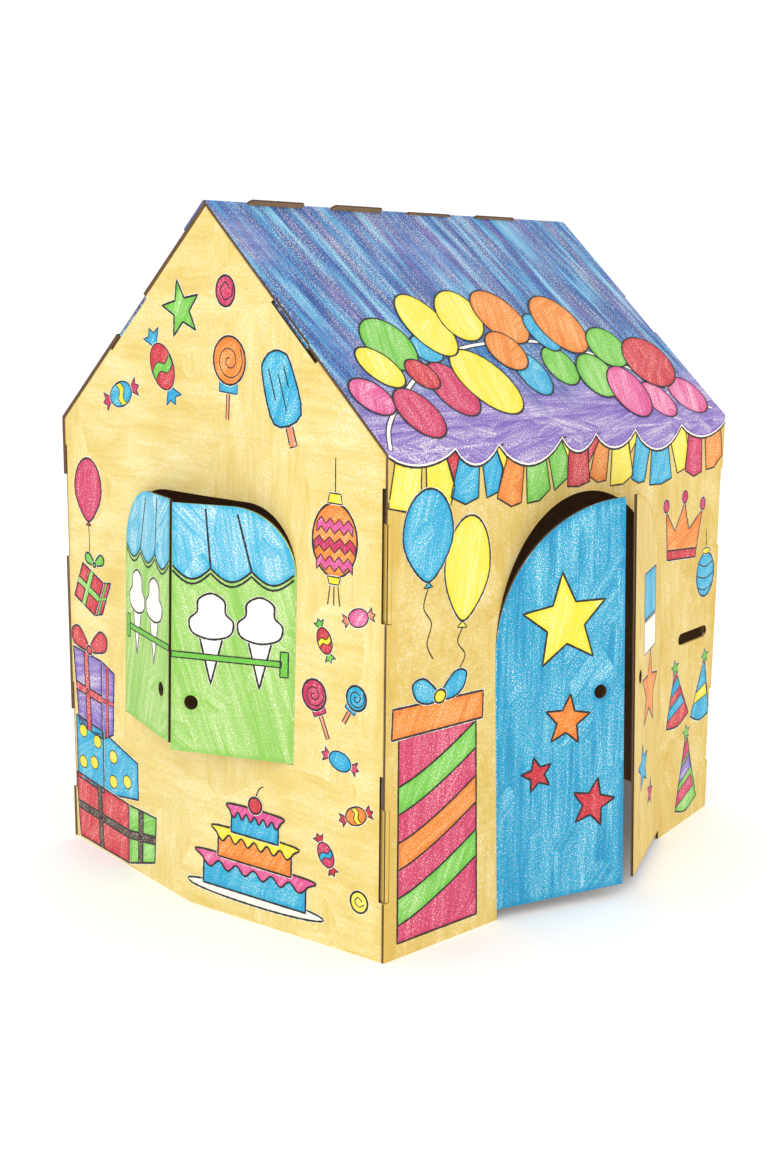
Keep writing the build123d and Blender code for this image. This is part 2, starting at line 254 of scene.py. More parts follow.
def crayon_wax(tree, place, light, deep, cover, rim=0.0, strokes=DRAWN_STROKES):
    """Colour, roughness and height of one crayon; cover is the share of paper that a light stroke fills."""
    stroke = stroke_pressure(tree, place, strokes)
    # rim is added pressure: the firmer rim of a drawn shape, and on the walls the painted shade along the
    # corner folds.
    pressure = add(tree, "Math", {0: stroke, 1: rim}, operation="ADD", use_clamp=True)
    grain = add(tree, "TexNoise", {"Vector": place, "Scale": 1 / GRAIN, "Detail": 2.0, "Roughness": 0.7})
    grain = add(tree, "MapRange", {"Value": grain, "From Min": 0.34, "From Max": 0.66})
    reach = add(tree, "Math", {0: pressure, 1: 1.15 - cover, 2: cover}, operation="MULTIPLY_ADD")
    filled = add(tree, "Math", {0: reach, 1: grain}, operation="SUBTRACT")
    filled = add(tree, "MapRange", {"Value": filled, "From Min": -0.12, "From Max": 0.3})
    colour = add(tree, "Mix", {0: pressure, 6: light, 7: deep}, out=2, data_type="RGBA")
    colour = add(tree, "Mix", {0: filled, 6: PAPER, 7: colour}, out=2, data_type="RGBA")
    rough = add(tree, "MapRange", {"Value": filled, "To Min": ROUGH_PAPER, "To Max": ROUGH_WAX})
    return colour, rough, filled


# %% [markdown]
# ## Crayons of the drawing
# Each crayon is one material: its light and its pressed colour, and the direction of the hand. Every
# drawn shape carries its own flat coordinates, in metres, and its distance to its outline. A hand
# presses harder along the outline, so the last few millimetres are deeper.

# %% The box of crayons
CRAYONS = {
    "yellow": ("#F7E85A", "#F2DC2C", 0.75, 75),
    "wall_yellow": ("#E6CC78", "#D6B24E", 0.94, 90),
    "orange": ("#F2A03C", "#E2781C", 0.84, 60),
    "red": ("#DE4850", "#C42436", 0.84, 80),
    "pink": ("#EC7FB0", "#D94C8C", 0.72, 55),
    "rose": ("#DC4470", "#C4285A", 0.84, 85),
    "green": ("#8FD458", "#67BC3A", 0.75, 65),
    "sky": ("#34BCDC", "#129ECB", 0.78, 70),
    "door_blue": ("#1CB4D6", "#058BB8", 0.77, 88),
    "awning_blue": ("#7CCDE6", "#2FABD0", 0.6, 80),
    "shutter_green": ("#B4D878", "#88C250", 0.74, 72),
    "violet": ("#9D86C9", "#7A5DB2", 0.6, 12),
    "tan": ("#EDA27C", "#DF8A62", 0.8, 90),
    "brown": ("#5A4238", "#3E2C26", 0.85, 85),
}
RIM_WIDTH = 11 * MM
HAND_PATCH = 130 * MM        # size of the patches in which the hand turned
HAND_TURN = math.radians(38)     # how far it turned there


def crayon(name):
    """A drawn crayon, on a shape that has its own flat coordinates and a rim attribute."""
    light, deep, cover, angle = CRAYONS[name]
    material, tree = new_tree("wax_crayon_" + name)
    flat = add(tree, "TexCoord", out="UV")
    patch = add(tree, "TexNoise", {"Vector": flat, "Scale": 1 / HAND_PATCH, "Detail": 1.0})
    turned_hand = add(tree, "Math", {0: patch, 1: 0.57}, operation="GREATER_THAN")
    lean = math.radians(-angle)
    hand = add(tree, "Math", {0: turned_hand, 1: HAND_TURN, 2: lean}, operation="MULTIPLY_ADD")
    flat = add(tree, "VectorRotate", {"Vector": flat, "Angle": hand}, rotation_type="Z_AXIS")
    edge = add(tree, "Attribute", out="Fac", attribute_name="rim")
    firm = add(tree, "MapRange", {"Value": edge, "From Max": RIM_WIDTH, "To Min": 0.45, "To Max": 0.0})
    colour, rough, height = crayon_wax(tree, flat, linear(light), linear(deep), cover, firm)
    finish_surface(tree, colour, rough, height, WAX_RELIEF)
    return material


def plain_print(name, dark, light, rough):
    """Printed ink or bare white liner, with the mottle that a porous paper gives it."""
    material, tree = new_tree(name)
    flat = add(tree, "TexCoord", out="UV")
    mottle = add(tree, "TexNoise", {"Vector": flat, "Scale": 1 / (1.5 * MM), "Detail": 3.0})
    colour = add(tree, "Mix", {0: mottle, 6: linear(dark), 7: linear(light)}, out=2, data_type="RGBA")
    finish_surface(tree, colour, rough, mottle, INK_RELIEF)
    return material


finishes = {name: crayon(name) for name in CRAYONS}
finishes["ink"] = plain_print("offset_ink_black", "#171415", "#2B2726", 0.55)
finishes["paper"] = plain_print("white_liner", "#F2ECD8", "#FFFDF6", 0.85)
print(len(finishes), "drawing finishes")

# %% [markdown]
# ## Which face of a board is printed
# A board has a white, printed liner outside and brown kraft inside and at its cut edges. The boards are
# solids, so the finish asks each point which way its face looks. Where a hooked tab turns round the
# corner and dives into its slot, its printed side looks sideways, deeper than the board is thick.

# %% Depth into a board, and its printed faces
TAB_DEPTH = (BOARD + 0.2) * MM


def split(tree, vector):
    """The x, y and z of a vector."""
    return [add(tree, "SeparateXYZ", {0: vector}, out=axis) for axis in range(3)]


def kicked_out(tree, z, top, run, kick):
    """How far a wall's face stands out of line at height z; run is 0 to 1 towards its middle."""
    low = add(tree, "MapRange", {"Value": z, "From Max": top * MM, "To Min": kick * MM, "To Max": 0.0})
    return add(tree, "Math", {0: low, 1: run}, operation="MULTIPLY")


def sheet_depth(turn):
    """Depth into the front sheet (turn 1) or the back one (-1): the lesser of its wall's and its roof's."""
    def depth(tree, place):
        x, y, z = split(tree, place)
        inward = add(tree, "Math", {0: y, 1: turn, 2: HALF_DEPTH * MM}, operation="MULTIPLY_ADD")
        wall = inward
        if turn > 0:
            left, right = [
                add(tree, "MapRange", {"Value": x, "From Min": corner * MM, "From Max": jamb * MM})
                for corner, jamb in ((-HALF_WIDTH, JAMBS[0]), (HALF_WIDTH, JAMBS[1]))
            ]
            run = add(tree, "Math", {0: left, 1: right}, operation="MINIMUM")
            kick = kicked_out(tree, z, KNEE, run, DOOR_KICK)
            wall = add(tree, "Math", {0: inward, 1: kick}, operation="ADD")
        above = add(tree, "Math", {0: z, 1: EAVE * MM}, operation="SUBTRACT")
        lean = add(tree, "Math", {0: above, 1: math.cos(PITCH)}, operation="MULTIPLY")
        roof = add(tree, "Math", {0: inward, 1: math.sin(PITCH)}, operation="MULTIPLY")
        roof = add(tree, "Math", {0: roof, 1: lean}, operation="SUBTRACT")
        return add(tree, "Math", {0: wall, 1: roof}, operation="MINIMUM")
    return depth


def gable_depth(tree, place):
    """Depth into a gable wall, which is kicked out along its middle."""
    x, y, z = split(tree, place)
    aside = add(tree, "Math", {0: y}, operation="ABSOLUTE")
    run = add(tree, "MapRange", {"Value": aside, "From Max": GABLE_CORNER * MM, "To Min": 1.0, "To Max": 0.0})
    kick = kicked_out(tree, z, GABLE_EAVE, run, GABLE_KICK)
    face = add(tree, "Math", {0: kick, 1: HALF_WIDTH * MM}, operation="ADD")
    out = add(tree, "Math", {0: x}, operation="ABSOLUTE")
    return add(tree, "Math", {0: face, 1: out}, operation="SUBTRACT")


def printed_faces(tree, normal, facing, place=None, depth=None):
    """1 where the liner shows: the face looks along one of facing, or sideways and deeper than the board."""
    mask = 0.0
    for direction in facing:
        toward = add(tree, "VectorMath", {0: normal, 1: direction}, out="Value", operation="DOT_PRODUCT")
        hit = add(tree, "Math", {0: toward, 1: 0.5}, operation="GREATER_THAN")
        mask = add(tree, "Math", {0: mask, 1: hit}, operation="MAXIMUM")
    if depth is None:
        return mask
    deep = add(tree, "Math", {0: depth, 1: TAB_DEPTH}, operation="GREATER_THAN")
    outward = add(tree, "Math", {0: split(tree, place)[0], 1: split(tree, normal)[0]}, operation="MULTIPLY")
    sideways = add(tree, "Math", {0: outward, 1: HALF_WIDTH * MM / 2}, operation="GREATER_THAN")
    diving = add(tree, "Math", {0: deep, 1: sideways}, operation="MULTIPLY")
    return add(tree, "Math", {0: mask, 1: diving}, operation="MAXIMUM")


# %% [markdown]
# ## Faces of the boards
# The walls are one pale yellow crayon, laid level on the gables and upright on the front. The roof is
# several blues over one another, in long strokes that follow the slope, and turns violet towards the
# eave. Along the walls' corner folds the yellow is deepened, as painted shade.

# %% Wall and roof crayons
FRONT_YELLOW = (linear("#E6CC78"), linear("#D6B24E"))
GABLE_YELLOW = (linear("#EEDB90"), linear("#DFC266"))
ROOF_BLUES = ((0.0, "#6DB7D8"), (0.28, "#358FC2"), (0.52, "#1C62A8"), (0.78, "#18488E"), (1.0, "#5555A6"))
VIOLET = (linear("#A892D2"), linear("#6F52AC"))
VIOLET_HEIGHT = 112 * MM     # how far up the slope the violet reaches
RAGGED = 90 * MM             # how unevenly it ends
FOLD_SHADE = 28 * MM         # width of the painted shade, a deeper band, along a wall's corners
PATCH = 260 * MM             # size of the patches in which the hand turned


def wall_wax(tree, place, yellow, stroke_axis, level_axis, corner):
    """Pale yellow wall: strokes along one axis, deeper yellow as painted shade where level_axis nears a
    corner.
    """
    axes = split(tree, place)
    others = [axes[axis] for axis in range(3) if axis != stroke_axis]
    along = add(tree, "CombineXYZ", {0: axes[stroke_axis], 1: others[0], 2: others[1]})
    athwart = add(tree, "CombineXYZ", {0: others[1], 1: axes[stroke_axis], 2: others[0]})
    patch = add(tree, "TexNoise", {"Vector": place, "Scale": 1 / PATCH, "Detail": 1.0})
    turned_hand = add(tree, "Math", {0: patch, 1: 0.56}, operation="GREATER_THAN")
    flat = add(tree, "Mix", {0: turned_hand, 4: along, 5: athwart}, out=1, data_type="VECTOR")
    # Painted shade: the yellow deepens within FOLD_SHADE of the wall's corner folds, given to the crayon as
    # extra pressure.
    far = add(tree, "Math", {0: axes[level_axis]}, operation="ABSOLUTE")
    start = corner - FOLD_SHADE
    band = add(tree, "MapRange", {"Value": far, "From Min": start, "From Max": corner, "To Max": 0.5})
    return crayon_wax(tree, flat, *yellow, 0.9, band, BROAD_STROKES)


def roof_wax(tree, place, turn):
    """Blues up the slope and violet along the eave; turn is 1 for the front slope and -1 for the back."""
    x, y, z = split(tree, place)
    up_slope = (0, turn * math.cos(PITCH), math.sin(PITCH))
    v = add(tree, "VectorMath", {0: place, 1: up_slope}, out="Value", operation="DOT_PRODUCT")
    slanted = add(tree, "Math", {0: v, 1: 0.14, 2: x}, operation="MULTIPLY_ADD")
    flat = add(tree, "CombineXYZ", {0: v, 1: slanted})
    wide = add(tree, "VectorMath", {0: flat, 1: (1 / (230 * MM), 1 / (26 * MM), 1)}, operation="MULTIPLY")
    mood = add(tree, "TexNoise", {"Vector": wide, "Scale": 1.0, "Detail": 3.0, "Roughness": 0.55})
    mood = add(tree, "MapRange", {"Value": mood, "From Min": 0.33, "From Max": 0.67})
    ramp = tree.nodes.new("ShaderNodeValToRGB")
    for stop, (at, colour) in enumerate(ROOF_BLUES):
        spot = ramp.color_ramp.elements[stop] if stop < 2 else ramp.color_ramp.elements.new(at)
        spot.position, spot.color = at, linear(colour)
    tree.links.new(mood, ramp.inputs[0])
    blue, rough, height = crayon_wax(tree, flat, ramp.outputs[0], ramp.outputs[0], 0.7, strokes=ROOF_STROKES)
    level = add(tree, "CombineXYZ", {0: x, 1: v})
    violet, _, _ = crayon_wax(tree, level, *VIOLET, 0.62)
    patches = add(tree, "TexNoise", {"Vector": place, "Scale": 1 / (240 * MM), "Detail": 1.0})
    tint = add(tree, "MapRange", {"Value": patches, "From Min": 0.52, "From Max": 0.74, "To Max": 0.4})
    blue = add(tree, "Mix", {0: tint, 6: blue, 7: violet}, out=2, data_type="RGBA")
    ragged = add(tree, "Math", {0: mood, 1: RAGGED, 2: v}, operation="MULTIPLY_ADD")
    low = -HALF_DEPTH * MM * math.cos(PITCH) + EAVE * MM * math.sin(PITCH) + VIOLET_HEIGHT
    above = add(tree, "MapRange", {"Value": ragged, "From Min": low, "From Max": low + RAGGED})
    colour = add(tree, "Mix", {0: above, 6: violet, 7: blue}, out=2, data_type="RGBA")
    return colour, rough, height


def board(name, wax, facing, depth, across, tabs=False):
    """A board's finish: wax(tree, place) on the faces that look along facing, bare board elsewhere."""
    material, tree = new_tree(name)
    place = add(tree, "TexCoord", out="Object")
    normal = add(tree, "TexCoord", out="Normal")
    deep = depth(tree, place)
    mask = printed_faces(tree, normal, facing, place, deep) if tabs else printed_faces(tree, normal, facing)
    wax_colour, wax_rough, wax_height = wax(tree, place)
    side = add(tree, "VectorMath", {0: place, 1: across}, out="Value", operation="DOT_PRODUCT")
    bare, bare_height = raw_board(tree, place, deep, side)
    colour = add(tree, "Mix", {0: mask, 6: bare, 7: wax_colour}, out=2, data_type="RGBA")
    rough = add(tree, "Mix", {0: mask, 2: ROUGH_PAPER, 3: wax_rough})
    height = add(tree, "Mix", {0: mask, 2: bare_height, 3: wax_height})
    finish_surface(tree, colour, rough, height, BOARD_RELIEF)
    return material


def sheet_wax(turn):
    """The front or back sheet: roof crayon above the eave fold, wall crayon below it."""
    def wax(tree, place):
        roof = roof_wax(tree, place, turn)
        wall = wall_wax(tree, place, FRONT_YELLOW, 2, 0, HALF_WIDTH * MM)
        upper = add(tree, "Math", {0: split(tree, place)[2], 1: (EAVE - FOLD) * MM}, operation="GREATER_THAN")
        colour = add(tree, "Mix", {0: upper, 6: wall[0], 7: roof[0]}, out=2, data_type="RGBA")
        rough, height = (add(tree, "Mix", {0: upper, 2: wall[i], 3: roof[i]}) for i in (1, 2))
        return colour, rough, height
    return wax


def dress(node, material):
    """Give a board its finish."""
    slots = frame["nodes"][node].data.materials
    slots.clear()
    slots.append(material)


ALONG_X, ALONG_Y = (1, 0, 0), (0, 1, 0)
dress("front_sheet", board(
    "crayoned_board_front", sheet_wax(1), [(0, -1, 0), (0, 0, 1)], sheet_depth(1), ALONG_X, tabs=True,
))
dress("back_sheet", board(
    "crayoned_board_back", sheet_wax(-1), [(0, 1, 0), (0, 0.4, 0.85)], sheet_depth(-1), ALONG_X, tabs=True,
))
for wall, side in WALLS:
    dress(wall + "_gable_sheet", board(
        f"crayoned_board_{wall}_gable",
        lambda tree, place: wall_wax(tree, place, GABLE_YELLOW, 1, 1, HALF_DEPTH * MM),
        [(side, 0, 0)], gable_depth, ALONG_Y,
    ))
print("finished the four sheets")

# %% [markdown]
# ## Where a drawing lies on its board
# A drawing is planned in the flat: u runs to the right as one faces the board, v runs up from the
# floor. One function for each board carries such a point to its place in space, along the wall's
# kicked-out foot, round the eave fold and up the roof, or onto a leaf that stands ajar.

# %% From flat drawing to folded board
FOLD_START = EAVE - FOLD * math.tan((math.pi / 2 - PITCH) / 2)
FOLD_LENGTH = FOLD * (math.pi / 2 - PITCH)


def on_front(u, v, lift):
    """Front sheet: up the wall, round the eave fold and up the near slope."""
    if v <= FOLD_START:
        if u < JAMBS[0]:
            run = (u + HALF_WIDTH) / (JAMBS[0] + HALF_WIDTH)
        else:
            run = (HALF_WIDTH - u) / (HALF_WIDTH - JAMBS[1])
        kick = DOOR_KICK * max(0, 1 - v / KNEE) * min(1, run)
        return Vector((u, -HALF_DEPTH - kick - lift, v)) * MM
    if v <= FOLD_START + FOLD_LENGTH:
        turn = (v - FOLD_START) / FOLD
        reach = FOLD + lift
        y, z = FOLD - HALF_DEPTH - reach * math.cos(turn), FOLD_START + reach * math.sin(turn)
        return Vector((u, y, z)) * MM
    rise = v - FOLD_START - FOLD_LENGTH + EAVE - FOLD_START
    return Vector((
        u,
        -HALF_DEPTH + rise * math.cos(PITCH) - lift * math.sin(PITCH),
        EAVE + rise * math.sin(PITCH) + lift * math.cos(PITCH),
    )) * MM


def on_gable(side):
    """A gable wall, with side -1 for the left and 1 for the right."""
    def place(u, v, lift):
        kick = GABLE_KICK * max(0, 1 - v / GABLE_EAVE) * max(0, 1 - abs(u) / GABLE_CORNER)
        return Vector((side * (HALF_WIDTH + kick + lift), side * u, v)) * MM
    return place


def hinge(joint_name, closed):
    """A crease's joint, its axis, up along it, and the direction of its closed leaf square to it."""
    joint = next(j for j in frame["joints"] if j["name"] == joint_name)
    axis = Vector(joint["axis"]).normalized()
    upwards = axis if axis.z > 0 else -axis
    return joint, axis, upwards, (closed - upwards * closed.dot(upwards)).normalized()


def on_leaf(joint_name, closed):
    """A leaf at rest: u runs from its crease to its free edge, v up from its foot."""
    joint, axis, upwards, closed = hinge(joint_name, closed)
    ajar = Matrix.Rotation(math.radians(-joint["range_deg"][0]), 3, axis)
    across = ajar @ closed
    outwards = ajar @ axis.cross(closed)

    def place(u, v, lift):
        return Vector(joint["pos_m"]) + (across * u + upwards * v + outwards * lift) * MM
    return place


roof_foot = 2 * FOLD_START + FOLD_LENGTH - EAVE
print("the roof slope starts", round(roof_foot, 1), "mm up the flat sheet")

# %% [markdown]
# ## A canvas for each board
# Each board's drawing becomes one mesh: white halos where the hand kept clear of a line, fills over them
# and ink lines on top, each a hair above the last. A fill is cut into triangles small enough to follow
# the board.

# %% Canvas
LIFTS = {"halo": 0.10, "fill": 0.16, "ink": 0.24}
REACH = 4.0             # how far from its planned place a board's face is looked for
LEVEL = 0.16            # each drawing that overlaps another lies this much higher
GRID = 9.0              # spacing of the points inside a fill
INK_STEP = 5.0
INK = 3.6               # width of a printed outline
HALO = 0.9              # bare paper left outside an outline
random.seed(5)
board_faces = {
    name: BVHTree.FromPolygons([v.co for v in node.data.vertices], [p.vertices for p in node.data.polygons])
    for name, node in frame["nodes"].items()
}


def distances(points, outline):
    """Distance of each point to a closed outline."""
    starts, ends = outline, np.roll(outline, -1, axis=0)
    run = ends - starts
    share = np.einsum("pij,ij->pi", points[:, None] - starts, run) / np.maximum((run ** 2).sum(1), 1e-9)
    nearest = starts + np.clip(share, 0, 1)[..., None] * run
    return np.linalg.norm(points[:, None] - nearest, axis=2).min(1)


def inside(points, outline):
    """Which points lie in a closed outline, by counting the edges to their right."""
    starts, ends = outline, np.roll(outline, -1, axis=0)
    x, y = points[:, :1], points[:, 1:]
    spans = (starts[:, 1] > y) != (ends[:, 1] > y)
    run, rise = (ends - starts).T
    slope = run / np.where(rise == 0, 1e-9, rise)
    return (spans & (x < starts[:, 0] + slope * (y - starts[:, 1]))).sum(1) % 2 == 1


def divided(line, closed, step):
    """The same line with no stretch longer than step."""
    line = np.asarray(line, float)
    ends = np.roll(line, -1, axis=0) if closed else line[1:]
    parts = []
    for start, end in zip(line, ends):
        count = max(1, math.ceil(np.linalg.norm(end - start) / step))
        parts.append(start + (end - start) * np.arange(count)[:, None] / count)
    if not closed:
        parts.append(line[-1:])
    return np.concatenate(parts)


class Canvas:
    """One board's drawing, gathered and then made into one mesh."""

    def __init__(self, node, place, slot):
        self.name, self.place, self.slot = node + "_drawing", place, slot
        self.face = board_faces[node]
        self.body = frame["nodes"][node]["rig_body"]
        self.points, self.flat, self.rims, self.faces, self.wax = [], [], [], [], []

    def settle(self, u, v, lift):
        """The place of a flat point on the board's own face, lifted a hair off it."""
        planned, above = self.place(u, v, 0), self.place(u, v, REACH)
        inward = (planned - above).normalized()
        found = self.face.ray_cast(above, inward, 2 * REACH * MM)[0]
        return (found or planned) - inward * lift * MM

    def mesh(self, flat, rims, faces, finish, lift):
        """Add triangles or quads, given in the flat."""
        first = len(self.points)
        self.points += [self.settle(u, v, lift) for u, v in flat]
        self.flat += [(u * MM, v * MM) for u, v in flat]
        self.rims += list(rims)
        for face in faces:
            self.faces.append([first + corner for corner in face])
            self.wax.append(finish)

    def fill(self, outline, finish, level=0, holes=()):
        """Colour in a closed outline."""
        outline = divided(outline, True, GRID)
        low, high = outline.min(0), outline.max(0)
        xs, ys = np.arange(low[0], high[0], GRID), np.arange(low[1], high[1], GRID)
        grid = [(x + GRID / 2 * (row % 2), y) for row, y in enumerate(ys) for x in xs]
        grid = np.array(grid).reshape(-1, 2)
        rings = [outline, *(divided(hole, True, GRID) for hole in holes)]
        keep = inside(grid, outline)
        for ring in rings:
            keep &= distances(grid, ring) > GRID * 0.45
        for ring in rings[1:]:
            keep &= ~inside(grid, ring)
        corners, edges = [], []
        for ring in rings:
            first = len(corners)
            corners += [Vector(p) for p in ring]
            edges += [(first + i, first + (i + 1) % len(ring)) for i in range(len(ring))]
        corners += [Vector(p) for p in grid[keep]]
        found, _, faces, *_ = delaunay_2d_cdt(corners, edges, [], 1, 1e-4)
        flat = np.array([tuple(p) for p in found])
        middles = np.array([flat[list(face)].mean(0) for face in faces])
        solid = np.all([inside(middles, outline)] + [~inside(middles, ring) for ring in rings[1:]], axis=0)
        faces = [face for face, keep_it in zip(faces, solid) if keep_it]
        rims = np.min([distances(flat, ring) for ring in rings], axis=0) * MM
        self.mesh(flat, rims, faces, finish, LIFTS["fill"] + level * LEVEL)

    def ribbon(self, line, width, finish, lift, closed=False, uneven=0.0):
        """A flat ribbon along a line."""
        line = divided(line, closed, INK_STEP)
        if closed:
            ahead, behind = np.roll(line, -1, axis=0), np.roll(line, 1, axis=0)
        else:
            ahead, behind = np.vstack([line[1:], line[-1:]]), np.vstack([line[:1], line[:-1]])
        run = ahead - behind
        run /= np.maximum(np.linalg.norm(run, axis=1, keepdims=True), 1e-9)
        aside = np.stack([-run[:, 1], run[:, 0]], axis=1)
        halves = [width / 2 * (1 + uneven * random.uniform(-1, 1)) for _ in line]
        count = len(line)
        flat = [p + a * h * side for side in (1, -1) for p, a, h in zip(line, aside, halves)]
        spans = count if closed else count - 1
        faces = [(i, i + count, (i + 1) % count + count, (i + 1) % count) for i in range(spans)]
        self.mesh(flat, [1.0] * len(flat), faces, finish, lift)

    def line(self, points, width=INK, level=0, closed=False):
        """An ink line."""
        self.ribbon(points, width, "ink", LIFTS["ink"] + level * LEVEL, closed, 0.16)

    def shape(self, outline, finish, level=0, halo=True, width=INK):
        """An inked outline, coloured in, with bare paper round it."""
        if halo:
            self.ribbon(outline, width + 2 * HALO, "paper", LIFTS["halo"] + level * LEVEL, True, 0.2)
        self.fill(outline, finish, level)
        self.line(outline, width, level, True)

    def make(self):
        """Turn what was gathered into one object that rides on its board."""
        used = sorted(set(self.wax))
        mesh = bpy.data.meshes.new(self.name)
        mesh.from_pydata(self.points, [], self.faces)
        for finish in used:
            mesh.materials.append(finishes[finish])
        mesh.polygons.foreach_set("material_index", [used.index(finish) for finish in self.wax])
        layer = mesh.uv_layers.new(name="flat")
        corners = np.zeros(len(mesh.loops), np.int32)
        mesh.loops.foreach_get("vertex_index", corners)
        layer.data.foreach_set("uv", np.array(self.flat)[corners].ravel())
        mesh.attributes.new("rim", "FLOAT", "POINT").data.foreach_set("value", self.rims)
        made = bpy.data.objects.new(self.name, mesh)
        bpy.context.scene.collection.objects.link(made)
        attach(made, self.body)
        print(self.name, len(mesh.polygons), "faces")


# %% [markdown]
# ## Shapes of the drawing
# The drawing is a party: balloons, stars, sweets, gifts, bunting. A few plain outlines serve for all of
# it, turned and sized for each place.

# %% Outlines
OVAL_CORNERS, BALLOON_CORNERS = 28, 30


def turned(points, at, angle=0.0, size=1.0):
    """Points turned by an angle in degrees, sized, and moved to a place."""
    c, s = math.cos(math.radians(angle)), math.sin(math.radians(angle))
    wide, high = size if isinstance(size, tuple) else (size, size)
    return [
        (at[0] + c * x * wide - s * y * high, at[1] + s * x * wide + c * y * high) for x, y in points
    ]


def oval(at, width, height, angle=0.0):
    """An oval of a given width and height."""
    turns = [math.tau * i / OVAL_CORNERS for i in range(OVAL_CORNERS)]
    circle = [(math.cos(turn) / 2, math.sin(turn) / 2) for turn in turns]
    return turned(circle, at, angle, (width, height))


def smooth(points, closed=False, steps=5):
    """A soft curve through the points."""
    count = len(points)
    path = []
    for i in range(count if closed else count - 1):
        if closed:
            a, b, c, d = (np.array(points[(i + k) % count], float) for k in (-1, 0, 1, 2))
        else:
            a, b, c, d = (np.array(points[min(max(i + k, 0), count - 1)], float) for k in (-1, 0, 1, 2))
        for step in range(steps):
            t = step / steps
            square, cube = 2 * a - 5 * b + 4 * c - d, 3 * b - a - 3 * c + d
            path.append(tuple(0.5 * (2 * b + (c - a) * t + square * t ** 2 + cube * t ** 3)))
    if not closed:
        path.append(tuple(points[-1]))
    return path


def star_outline(at, radius, angle=0.0, inner=0.45):
    """A five-pointed star, whose inner corners lie at a share of its radius."""
    tips = []
    for i in range(10):
        reach = radius if i % 2 == 0 else radius * inner
        tips.append((reach * math.sin(math.tau * i / 10), reach * math.cos(math.tau * i / 10)))
    return turned(tips, at, angle)


def balloon(canvas, at, width, height, finish, tilt=0.0, level=0):
    """A balloon whose lower half draws in towards its knot."""
    body = []
    for i in range(BALLOON_CORNERS):
        turn = math.tau * i / BALLOON_CORNERS
        draw_in = 1 - 0.42 * max(0, -math.sin(turn)) ** 1.6
        body.append((math.cos(turn) / 2 * draw_in, math.sin(turn) / 2))
    canvas.shape(turned(body, at, tilt, (width, height)), finish, level)
    tie = [(0, -0.5), (-0.07, -0.56), (0.07, -0.56)]
    canvas.shape(turned(tie, at, tilt, (height, height)), finish, level, halo=False, width=2.0)


def sweet(canvas, at, size, finish, ends, tilt=0.0, stripe=None):
    """A wrapped sweet: an oval with a twist of wrapper at each end."""
    for side in (-1, 1):
        twist = [
            (0.42, 0.03), (0.72, 0.26), (0.68, 0.08), (0.82, 0.0), (0.68, -0.1), (0.72, -0.26),
            (0.42, -0.03),
        ]
        canvas.shape(turned([(side * x, y) for x, y in twist], at, tilt, size), ends, width=2.2)
    canvas.shape(oval(at, size * 0.95, size * 0.66, tilt), finish, level=1, width=2.4)
    if stripe:
        band = smooth([(-0.12, 0.30), (-0.02, 0.1), (-0.14, -0.1), (-0.04, -0.31)], steps=3)
        band += [(x + 0.2, y) for x, y in reversed(band)]
        canvas.shape(turned(band, at, tilt, size), stripe, level=2, halo=False, width=1.8)


def lollipop(canvas, at, size, finish, stick_angle=-90.0, stick=1.3, tie="rose"):
    """A swirled disc on a stick."""
    away = (math.cos(math.radians(stick_angle)), math.sin(math.radians(stick_angle)))
    foot = (at[0] + away[0] * size * stick, at[1] + away[1] * size * stick)
    canvas.ribbon([at, foot], 9.0, "ink", LIFTS["ink"])
    canvas.ribbon([at, foot], 4.6, "tan", LIFTS["ink"] + 0.06)
    bow = [(-0.28, -0.12), (-0.28, 0.16), (0, 0.03), (0.28, 0.16), (0.28, -0.12)]
    neck = (at[0] + away[0] * size * 0.56, at[1] + away[1] * size * 0.56)
    canvas.shape(turned(bow, neck, stick_angle + 90, size), tie, level=1, width=2.0)
    canvas.shape(oval(at, size, size * 1.02), finish, level=2)
    swirl = []
    for t in range(2, 25):
        reach = size * 0.46 * (t / 26)
        swirl.append((reach * math.cos(t * 0.55), reach * math.sin(t * 0.55)))
    canvas.line(turned(smooth(swirl, steps=3), at), 2.0, level=2)


print("a star has", len(star_outline((0, 0), 10)), "corners")

# %% [markdown]
# ## The roof's drawing
# A scalloped valance hangs from the eave over a row of party flags, and a swag of oval balloons lies
# along the lower slope. The flags come first, then the valance over their tops.

